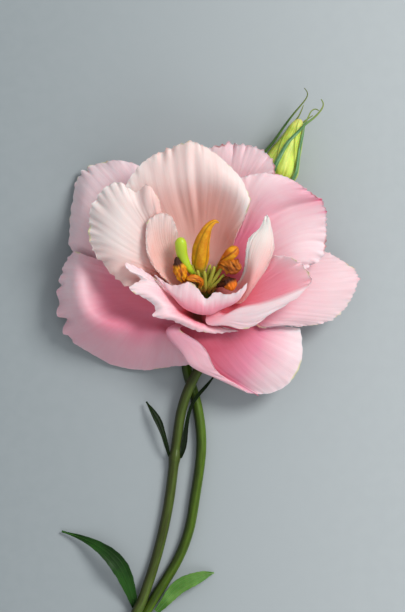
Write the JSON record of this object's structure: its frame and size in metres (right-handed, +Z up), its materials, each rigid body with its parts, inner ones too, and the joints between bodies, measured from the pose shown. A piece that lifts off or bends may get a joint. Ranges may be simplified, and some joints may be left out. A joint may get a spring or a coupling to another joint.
{
  "type": "lisianthus flower",
  "caption": "Cut lisianthus stem lying down: an open double pink flower with gold stamens, a green bud on a side stem, narrow leaves and bracts.",
  "frame": {"origin": "on the surface that the stem lies on, under the middle of the whole cut stem's box", "axes": "+Y along the stem from its cut end to the bud, +Z up from the surface, +X to the right with the cut end nearest"},
  "size_m": [0.076, 0.1522, 0.0232],
  "materials": {
    "outer_petal": "soft matte petal, pale pink to deep rose near the base, with fine veins along it",
    "inner_petal": "soft matte petal, warm white to salmon pink in the cup, with fine veins along it",
    "stem": "smooth olive green with faint lengthwise ribs",
    "leaf": "matte green with paler veins",
    "calyx": "matte blue-green",
    "bud_petal": "satin lime yellow with spiral folds",
    "anther": "granular golden orange with darker grooves",
    "stigma": "moist lime green"
  },
  "bodies": {
    "root": {"outer_petal_back_left": "outer_petal", "outer_petal_lower_left": "outer_petal", "outer_petal_front": "outer_petal", "outer_petal_right": "outer_petal", "outer_petal_upper_right": "outer_petal", "outer_petal_back": "outer_petal", "inner_petal_back": "inner_petal", "inner_petal_left": "inner_petal", "inner_petal_hood": "inner_petal", "inner_petal_front_left": "inner_petal", "inner_petal_front": "inner_petal", "inner_petal_front_right": "inner_petal", "inner_petal_right": "inner_petal", "main_stem": "stem", "bud_stem": "stem", "leaf_left": "leaf", "leaf_right": "leaf", "bract_left": "leaf", "bract_right": "leaf", "receptacle": "calyx", "flower_sepal_1": "calyx", "flower_sepal_2": "calyx", "flower_sepal_3": "calyx", "flower_sepal_4": "calyx", "flower_sepal_5": "calyx", "bud_receptacle": "calyx", "bud_sepal_1": "calyx", "bud_sepal_2": "calyx", "bud_sepal_3": "calyx", "bud_sepal_4": "calyx", "bud_sepal_5": "calyx", "bud_corolla": "bud_petal", "stamen_golden": "anther", "stamen_right_top": "anther", "stamen_right_middle": "anther", "stamen_right_low": "anther", "stamen_left": "anther", "stamen_centre": "anther", "pistil": "stigma"}
  },
  "joints": []
}
